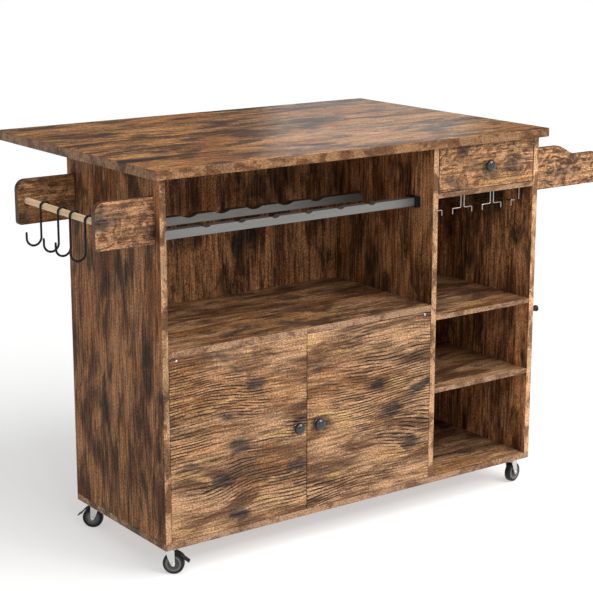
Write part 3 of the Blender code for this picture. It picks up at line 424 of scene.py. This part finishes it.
def softened(profile, rounds=2):
    # corner cutting: each leg of the line keeps its middle half, and the ends stay
    line = np.asarray(profile, float)
    for _ in range(rounds):
        cut = np.stack([0.75 * line[:-1] + 0.25 * line[1:], 0.25 * line[:-1] + 0.75 * line[1:]], axis=1)
        line = np.concatenate([line[:1], cut.reshape(-1, line.shape[1]), line[-1:]])
    return line


def across(axis):
    # two unit directions square to the axis and to each other
    axis = np.asarray(axis, float) / np.linalg.norm(axis)
    helper = np.array([0.0, 0.0, 1.0]) if abs(axis[2]) < 0.9 else np.array([1.0, 0.0, 0.0])
    first = np.cross(axis, helper)
    first /= np.linalg.norm(first)
    return axis, first, np.cross(axis, first)


def turnedRows(foot, axis, profile, sides=48):
    # a ring at each profile point: foot + height * axis + radius * (cos a * first + sin a * second)
    axis, first, second = across(axis)
    profile = np.asarray(profile, float)
    angle = np.linspace(0, 2 * np.pi, sides, endpoint=False)
    ring = np.cos(angle)[:, None] * first + np.sin(angle)[:, None] * second
    return np.asarray(foot) + profile[:, 1][:, None, None] * axis + profile[:, 0][:, None, None] * ring[None]


def tubeRows(path, radius, sides=14, reference=(0.31, 0.42, 0.853)):
    # a ring square to the path at each of its points, with both ends rounded off like half a ball. The
    # reference is any direction that the path never runs along
    path = np.asarray(path, float)
    gap = np.linalg.norm(np.diff(path, axis=0), axis=1)
    run = np.concatenate([[0], np.cumsum(gap)])
    ends = radius * (1 - np.cos(np.linspace(0, np.pi / 2, 5)))
    between = run[(run > radius) & (run < run[-1] - radius)]
    stations = np.unique(np.concatenate([ends, between, run[-1] - ends]))
    line = np.stack([np.interp(stations, run, path[:, i]) for i in range(3)], axis=1)
    tangent = np.gradient(line, stations, axis=0)
    tangent /= np.linalg.norm(tangent, axis=1)[:, None]
    side = np.asarray(reference) - (tangent @ np.asarray(reference))[:, None] * tangent
    side /= np.linalg.norm(side, axis=1)[:, None]
    other = np.cross(tangent, side)
    fromEnd = np.clip(np.minimum(stations, run[-1] - stations) / radius, 0, 1)
    girth = radius * np.sqrt(1 - (1 - fromEnd) ** 2)
    angle = np.linspace(0, 2 * np.pi, sides, endpoint=False)
    ring = np.cos(angle)[None, :, None] * side[:, None] + np.sin(angle)[None, :, None] * other[:, None]
    return line[:, None] + girth[:, None, None] * ring


def roundedPath(corners, radius, steps=7):
    # straight legs joined by arcs: at each corner, points of a quadratic curve from one leg to the next
    corners = np.asarray(corners, float)
    share = np.linspace(0, 1, steps)[:, None]
    path = [corners[:1]]
    for before, middle, after in zip(corners[:-2], corners[1:-1], corners[2:]):
        start = middle + (before - middle) / np.linalg.norm(before - middle) * radius
        end = middle + (after - middle) / np.linalg.norm(after - middle) * radius
        path.append((1 - share) ** 2 * start + 2 * share * (1 - share) * middle + share ** 2 * end)
    return np.concatenate(path + [corners[-1:]])


def plateRows(outline, place, start, end, bevel):
    # a flat outline carried from start to end along the third direction, its rim drawn in by the bevel
    # at both faces as a quarter circle; place turns (a, b, c) into points
    outline = np.asarray(outline, float)
    along = np.roll(outline, -1, axis=0) - np.roll(outline, 1, axis=0)
    along /= np.linalg.norm(along, axis=1)[:, None]
    area = np.sum(outline[:, 0] * np.roll(outline[:, 1], -1) - outline[:, 1] * np.roll(outline[:, 0], -1))
    inward = np.stack([-along[:, 1], along[:, 0]], axis=1) * np.sign(area)
    turn = np.linspace(0, np.pi / 2, 4)
    draw = bevel * (1 - np.sin(turn))
    rise = bevel * (1 - np.cos(turn))
    draws = np.concatenate([draw, draw[::-1]])
    levels = np.concatenate([start + rise, end - rise[::-1]])
    flat = outline[None] + draws[:, None, None] * inward[None]
    return place(flat[..., 0], flat[..., 1], np.broadcast_to(levels[:, None], flat.shape[:2]))


def arcPoints(centre, radius, start, end, steps):
    angle = np.radians(np.linspace(start, end, steps))
    return np.stack([centre[0] + radius * np.cos(angle), centre[1] + radius * np.sin(angle)], axis=1)


knob = {"radius": 0.0140, "flange": 0.0092, "neck": 0.0062, "reach": 0.020}


def makeKnobs():
    radius, neck, reach = knob["radius"], knob["neck"], knob["reach"]
    foot = [(0, 0), (knob["flange"], 0), (knob["flange"], 0.0014), (neck * 1.15, 0.0030),
            (neck, reach * 0.30)]
    head = [(radius * 0.84, reach * 0.38), (radius, reach * 0.50), (radius * 0.99, reach * 0.64),
            (radius * 0.84, reach * 0.86), (radius * 0.48, reach), (0, reach)]
    profile = softened(foot + head, 3)
    for node, body, name in (("door_knob_left", "door_left", "knobDoorLeft"),
                             ("door_knob_right", "door_right", "knobDoorRight"),
                             ("drawer_knob", "drawer", "knobDrawer")):
        low, high = (np.array(c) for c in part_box(node))
        place = ((low[0] + high[0]) / 2, high[1], (low[2] + high[2]) / 2)
        rows = turnedRows(place, (0, -1, 0), profile, 56)
        Maker().grid(rows).finish(name, body, "knob_black", [knobBlack], node)


towel = {"barEdge": 0.0006, "hookWire": 0.0025, "upperRadius": 0.0105, "lowerRadius": 0.0175, "drop": 0.065,
         "tip": 0.014, "play": 0.0003}


def makeTowelHolder():
    low, high = (np.array(c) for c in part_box("towel_bar"))
    radius = (high[0] - low[0]) / 2
    middle = ((low[0] + high[0]) / 2, low[1], (low[2] + high[2]) / 2)
    length = high[1] - low[1]
    edge = towel["barEdge"]
    profile = [(0, 0), (radius - edge, 0), (radius, edge), (radius, length - edge), (radius - edge, length),
               (0, length)]
    rows = turnedRows(middle, (0, 1, 0), profile, 40)
    Maker().grid(rows).finish("towelDowel", "cabinet", "pale_wood", [paleWood()], "towel_bar")
    # an S: an arc over the bar, a straight leg, an arc below that turns outwards, and a short tip
    upper, lower, wire = towel["upperRadius"], towel["lowerRadius"], towel["hookWire"]
    hang = upper - wire - radius - towel["play"]
    top = arcPoints((0, -hang), upper, -25, 180, 22)
    bend = arcPoints((-upper - lower, -towel["drop"]), lower, 0, -180, 26)
    tip = bend[-1:] + [[0, towel["tip"]]]
    flat = np.concatenate([top, bend, tip])
    for number in (1, 2, 3, 4):
        centre = np.array(jointAt[f"hook_{number}_swing"][0])
        path = centre + np.stack([flat[:, 0], np.zeros(len(flat)), flat[:, 1]], axis=1)
        rows = tubeRows(path, wire, 14, (0, 1, 0))
        node = f"hook_{number}"  # its body has the same name
        Maker().grid(rows).finish(f"hook{number}", node, "hook_metal", [hookBlack], node)


rack = {"wire": 0.0016, "pitch": 0.0935, "stem": 0.010, "arm": 0.030, "armDrop": 0.036, "bend": 0.004,
        "tip": 0.014}


def makeGlassRack():
    low, high = (np.array(c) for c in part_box("glass_rack"))
    middle = (low[0] + high[0]) / 2
    wire = rack["wire"]
    top = high[2] - wire
    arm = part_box("drawer_support")[0][2] - rack["armDrop"]
    front, rear = low[1] + wire, high[1] - wire
    maker = Maker()
    for place, sides in ((-1.5, (1,)), (-0.5, (-1, 1)), (0.5, (-1, 1)), (1.5, (-1,))):
        for side in sides:
            inner = middle + place * rack["pitch"] + side * rack["stem"] / 2
            outer = middle + place * rack["pitch"] + side * rack["arm"]
            corners = [(inner, front, top), (inner, front, arm), (outer, front, arm), (outer, rear, arm),
                       (inner, rear, arm), (inner, rear, top)]
            maker.grid(tubeRows(roundedPath(corners, rack["bend"]), wire, 12))
            tip = [(outer, front + 0.0004, arm), (outer, front, arm - rack["tip"])]
            maker.grid(tubeRows(tip, wire * 0.98, 12))
    reach = 1.5 * rack["pitch"] + rack["stem"] / 4
    for y in (front, rear):
        maker.grid(tubeRows([(middle - reach, y, top), (middle + reach, y, top)], wire * 1.02, 12))
    maker.finish("glassRack", "cabinet", "rack_wire", [rackChrome], "glass_rack")


caster = {"crown": 0.0165, "crownHeight": 0.0072, "bridge": 0.0026, "wheel": 0.024, "width": 0.016,
          "hub": 0.017, "axle": 0.0028, "sheet": 0.002, "gap": 0.0012, "headroom": 0.0056, "rimRound": 0.0035,
          "sheetEdge": 0.0005, "screwPlace": 0.015}
brake = {"clearance": 0.0022, "pivotAngle": 78, "bendAngle": 28, "tabReach": 0.0116, "tabLow": 6.5,
         "tabHigh": 10.5, "sheetEdge": 0.0004}  # angles above the trail, seen from the wheel's centre


def makeCaster(place, braked):
    name = "".join(word.capitalize() for word in place.split("_"))
    centre = np.array(jointAt[f"swivel_{place}_turn"][0])
    hub, axis = (np.array(value) for value in jointAt[f"wheel_{place}_roll"])
    axis /= np.linalg.norm(axis)
    trail = hub - centre
    trail[2] = 0
    reach = np.linalg.norm(trail)
    trail /= reach
    foot = np.array([centre[0], centre[1], 0.0])
    up = np.array([0, 0, 1.0])

    def local(a, b, c):
        # a along the trail, b up from the floor, c along the axle
        a, b, c = (np.asarray(part)[..., None] for part in (a, b, c))
        return foot + a * trail + c * axis + b * up

    wheel, width = caster["wheel"], caster["width"] / 2
    inner = caster["hub"] / 2 + caster["gap"]
    outer = inner + caster["sheet"]
    crownBase = 2 * wheel + caster["headroom"] + caster["bridge"]
    crownTop = crownBase + caster["crownHeight"]
    fork = Maker()
    crown = caster["crown"]
    cup = [(0, crownBase + 0.0004), (crown * 0.84, crownBase + 0.0004), (crown * 0.98, crownBase + 0.0018),
           (crown, crownBase + 0.0040), (crown * 0.97, crownTop - 0.0016), (crown * 0.90, crownTop - 0.0002),
           (0, crownTop - 0.0002)]
    fork.grid(turnedRows(foot, up, softened(cup)))
    span = crown * 0.62
    legTop = crownBase + 0.0003
    # the leg narrows in a slack curve to a round foot at the axle
    low = arcPoints((reach, wheel), caster["axle"] * 1.7, 200, 340, 12)
    fall = np.linspace(0, 1, 9)[:-1]

    def legSide(top, end):
        return np.stack([top + (end[0] - top) * fall ** 1.5, legTop + (end[1] - legTop) * fall], axis=1)

    outline = np.concatenate([legSide(-span * 0.95, low[0]), low, legSide(span * 0.95, low[-1])[::-1]])
    for start, end in ((inner, outer), (-outer, -inner)):
        fork.grid(plateRows(outline, local, start, end, caster["sheetEdge"]))
    base = legTop - caster["bridge"]
    shelf = [(-span, base), (span, base), (span, legTop), (-span, legTop), (-span, base)]
    fork.grid(plateRows(softened(shelf)[1:-1], local, -outer + 0.0004, outer - 0.0004, caster["sheetEdge"]))
    rivet = [(0, -outer - 0.0014), (0.0030, -outer - 0.0011), (0.0042, -outer - 0.0003),
             (0.0042, -outer + 0.0002), (caster["axle"], -outer + 0.0004)]
    rivet = softened(rivet, 1).tolist()
    rivet += [(r, -h) for r, h in rivet[::-1]]
    fork.grid(turnedRows(hub, axis, rivet, 28))
    fork.finish(f"fork{name}", f"swivel_{place}", "caster_chrome", [chrome], f"caster_fork_{place}")

    # half of the wheel's section from the bore out to the tread: hub, web, raised ring, shoulder
    bore, rim, hubHalf = caster["axle"] + 0.0003, caster["rimRound"], caster["hub"] / 2
    half = [(bore, hubHalf), (wheel * 0.27, hubHalf), (wheel * 0.31, width * 0.72),
            (wheel * 0.53, width * 0.66), (wheel * 0.57, width * 0.86), (wheel * 0.72, width * 0.90),
            (wheel * 0.75, width * 0.76), (wheel * 0.80, width * 0.97)]
    shoulder = arcPoints((wheel - rim, width - rim), rim, 84, 0, 7)
    half = np.concatenate([np.array(half), shoulder])
    profile = np.concatenate([half * [1, -1], half[::-1]])
    paintHalf = [1, 1, 1, 2, 2, 2, 1, 0] + [0] * 7  # 0 tyre, 1 web, 2 ring
    paints = (paintHalf + [0] + paintHalf[::-1])[: len(profile) - 1]
    rows = turnedRows(hub, axis, profile, 56)
    tyre = Maker().grid(np.concatenate([rows, rows[:1]]), np.array(paints + [1]))
    tyre.faces = tyre.faces[:-2]  # no end caps, because the section closes on itself around the bore
    tyre.paints = tyre.paints[:-2]
    tyre.finish(f"wheel{name}", f"wheel_{place}", "wheel_black", [tyreBlack, webGrey, ringGrey],
                f"caster_wheel_{place}")

    if braked:
        # a pressed shoe that follows the tread, then a pedal that turns up at its end
        start, end, sheet = brake["pivotAngle"], brake["bendAngle"], caster["sheet"]
        near = wheel + brake["clearance"]
        hubFlat = (reach, wheel)
        inside = arcPoints(hubFlat, near, start, end, 16)
        outside = arcPoints(hubFlat, near + sheet, end + 3, start, 16)
        tab = arcPoints(hubFlat, wheel + brake["tabReach"], brake["tabLow"], brake["tabHigh"], 3)
        outline = np.concatenate([inside, tab, outside])
        lever = Maker().grid(plateRows(outline, local, -hubHalf, hubHalf, brake["sheetEdge"]))
        pivotRadius, turn = near + sheet / 2, math.radians(start)
        pivot = local(reach + pivotRadius * math.cos(turn), wheel + pivotRadius * math.sin(turn),
                      -hubHalf - caster["gap"] / 2)
        length = 2 * hubHalf + caster["gap"]
        barrel = [(0, 0), (sheet * 1.1, 0), (sheet * 1.1, length), (0, length)]
        lever.grid(turnedRows(pivot, axis, barrel, 24))
        lever.finish(f"brake{name}", f"brake_{place}", "black_plastic", [blackPlastic],
                     f"brake_lever_{place}")
    # four pan heads under the plate's holes
    screws = Maker()
    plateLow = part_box(f"caster_plate_{place}")[0]
    head = softened([(0, -0.0016), (0.0022, -0.0016), (0.0034, -0.0008), (0.0034, -0.0001), (0, -0.0001)])
    for dx in (-caster["screwPlace"], caster["screwPlace"]):
        for dy in (-caster["screwPlace"], caster["screwPlace"]):
            screws.grid(turnedRows((centre[0] + dx, centre[1] + dy, plateLow[2]), up, head, 20))
    screws.finish(f"plateScrews{name}", "cabinet", "caster_chrome", [zinc])


peg = {"radius": 0.0065, "head": 0.0080}
pivotHead = {"radius": 0.0026, "reach": 0.0012, "inset": 0.018, "drop": 0.0055}
bracketScrew = {"radius": 0.0032, "reach": 0.0014, "armPlaces": (0.045, 0.100, 0.150), "armSheet": 0.002,
                "legPlaces": (0.012, 0.080), "legFace": 0.0021, "offset": 0.0018, "gap": 0.0001}


def makeSmallPieces():
    low, high = (np.array(c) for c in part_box("side_peg"))
    reach = high[0] - low[0]
    radius, head = peg["radius"], peg["head"]
    profile = [(0, 0), (radius, 0), (radius * 0.92, reach * 0.70), (head, reach * 0.78), (head, reach * 0.94),
               (head * 0.7, reach), (0, reach)]
    place = (low[0], (low[1] + high[1]) / 2, (low[2] + high[2]) / 2)
    rows = turnedRows(place, (1, 0, 0), softened(profile), 36)
    Maker().grid(rows).finish("sidePeg", "cabinet", "black_plastic", [blackPlastic], "side_peg")
    # the bright head of each door's upper pivot
    radius, reach = pivotHead["radius"], pivotHead["reach"]
    head = softened([(0, 0), (radius, 0), (radius, reach / 2), (0.0012, reach), (0, reach)])
    for side, body in (("left", "door_left"), ("right", "door_right")):
        low, high = (np.array(c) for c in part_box(f"door_{side}"))
        x = low[0] + pivotHead["inset"] if side == "left" else high[0] - pivotHead["inset"]
        rows = turnedRows((x, low[1] - 0.0001, high[2] - pivotHead["drop"]), (0, -1, 0), head, 24)
        Maker().grid(rows).finish(f"pivotHead{side.capitalize()}", body, "caster_chrome", [chrome])
    # the screws that hold the folding brackets' arms and legs
    reach = bracketScrew["reach"]
    dome = softened([(0, 0), (bracketScrew["radius"], 0), (0.0030, 0.0008), (0.0018, reach), (0, reach)])
    for side in ("left", "right"):
        low, high = (np.array(c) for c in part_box(f"bracket_arm_{side}"))
        maker = Maker()
        strip = high[2] - bracketScrew["armSheet"]
        middle = (low[0] + high[0]) / 2 - bracketScrew["offset"]
        for y in bracketScrew["armPlaces"]:
            place = (middle, low[1] + y, strip - bracketScrew["gap"])
            maker.grid(turnedRows(place, (0, 0, -1), dome, 20))
        maker.finish(f"armScrews{side.capitalize()}", "leaf", "bracket_steel", [zinc])
        low, high = (np.array(c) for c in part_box(f"bracket_leg_{side}"))
        maker = Maker()
        for z in bracketScrew["legPlaces"]:
            place = (middle, low[1] + bracketScrew["legFace"], low[2] + z)
            maker.grid(turnedRows(place, (0, 1, 0), dome, 20))
        maker.finish(f"legScrews{side.capitalize()}", "cabinet", "bracket_steel", [zinc])


makeKnobs()
makeTowelHolder()
makeGlassRack()
for place in ("front_left", "front_right", "rear_left", "rear_right"):
    makeCaster(place, f"brake_lever_{place}" in frame["nodes"])
makeSmallPieces()
print("finer pieces made")

studio = {
    "cameraPlace": (-2.291, -3.2414, 1.4454),
    "yaw": 35.71,  # degrees from +Y towards +X
    "pitch": 13.568,  # degrees below level
    "lens": 100.83,
    "skyFront": 0.78,
    "skyBack": 0.13,
    "skyFade": (-0.3, 0.6),  # the direction's y where the sky starts and stops dimming
    "sun": 2.3,
    "sunFrom": (0.45, -0.85, 1.0),
    "sunWidth": 50,  # degrees
    "lampAim": (0, 0, 0.8),
    "floor": (0.52, 0.52, 0.517),
    "floorGlow": 0.48,  # keeps the shadow under the cart light
    "floorReach": 60.0,
    "floorDrop": 0.0005,
}
# a narrow panel behind for the gleam across the worktop, and two small lamps that dot the knobs: the name,
# place, width, height and power of each
lamps = (
    ("sweep", (3.1, 3.6, 2.2), 1.1, 1.8, 4.0),
    ("dotLeft", (-1.6, -3.2, 2.6), 0.3, 0.3, 14.0),
    ("dotRight", (0.9, -3.4, 2.4), 0.3, 0.3, 14.0),
)


def makeCamera():
    data = bpy.data.cameras.new("camera")
    data.lens = studio["lens"]
    data.sensor_width = 36.0
    camera = bpy.data.objects.new("camera", data)
    bpy.context.scene.collection.objects.link(camera)
    camera.location = studio["cameraPlace"]
    camera.rotation_euler = (math.radians(90 - studio["pitch"]), 0, -math.radians(studio["yaw"]))
    bpy.context.scene.camera = camera


def makeFloor():
    mesh = bpy.data.meshes.new("floor")
    reach = studio["floorReach"]
    corners = [(-reach, -reach, 0), (reach, -reach, 0), (reach, reach, 0), (-reach, reach, 0)]
    mesh.from_pydata(corners, [], [(0, 1, 2, 3)])
    floor = bpy.data.objects.new("floor", mesh)
    bpy.context.scene.collection.objects.link(floor)
    floor.location.z = -studio["floorDrop"]
    g = Graph("pale floor")
    pale = studio["floor"]
    g.put("Base Color", g.mix(g.noise(g.coordinates(), 3.0), pale, tuple(c * 0.99 for c in pale)))
    g.put("Roughness", 0.9)
    g.put("Emission Color", (1.0, 1.0, 1.0, 1.0))
    g.put("Emission Strength", studio["floorGlow"])
    mesh.materials.append(g.material)


def lightStudio():
    world = bpy.data.worlds.new("studio")
    bpy.context.scene.world = world
    world.use_nodes = True
    # the sky is bright in front of the cart and dim behind it: a smooth step of the direction's y
    tree = world.node_tree
    split = tree.nodes.new("ShaderNodeSeparateXYZ")
    tree.links.new(tree.nodes.new("ShaderNodeTexCoord").outputs["Generated"], split.inputs[0])
    fade = tree.nodes.new("ShaderNodeMapRange")
    fade.interpolation_type = "SMOOTHSTEP"
    tree.links.new(split.outputs["Y"], fade.inputs["Value"])
    values = (*studio["skyFade"], studio["skyFront"], studio["skyBack"])
    for name, value in zip(("From Min", "From Max", "To Min", "To Max"), values):
        fade.inputs[name].default_value = value
    # seen straight from the camera, the backdrop stays white
    backdrop = tree.nodes.new("ShaderNodeMath")
    backdrop.operation = "MAXIMUM"
    tree.links.new(fade.outputs[0], backdrop.inputs[0])
    tree.links.new(tree.nodes.new("ShaderNodeLightPath").outputs["Is Camera Ray"], backdrop.inputs[1])
    sky = tree.nodes["Background"]
    sky.inputs["Color"].default_value = (1, 1, 1, 1)
    tree.links.new(backdrop.outputs[0], sky.inputs["Strength"])
    sun = bpy.data.lights.new("key", "SUN")
    sun.energy = studio["sun"]
    sun.angle = math.radians(studio["sunWidth"])
    lamp = bpy.data.objects.new("key", sun)
    bpy.context.scene.collection.objects.link(lamp)
    lamp.rotation_euler = Vector(studio["sunFrom"]).to_track_quat("Z", "Y").to_euler()
    for name, place, width, height, power in lamps:
        panel = bpy.data.lights.new(name, "AREA")
        panel.shape = "RECTANGLE"
        panel.size, panel.size_y = width, height
        panel.energy = power
        lamp = bpy.data.objects.new(name, panel)
        bpy.context.scene.collection.objects.link(lamp)
        lamp.location = place
        aim = Vector(place) - Vector(studio["lampAim"])
        lamp.rotation_euler = aim.to_track_quat("Z", "Y").to_euler()
        lamp.visible_camera = False


makeCamera()
makeFloor()
lightStudio()
print("studio ready")
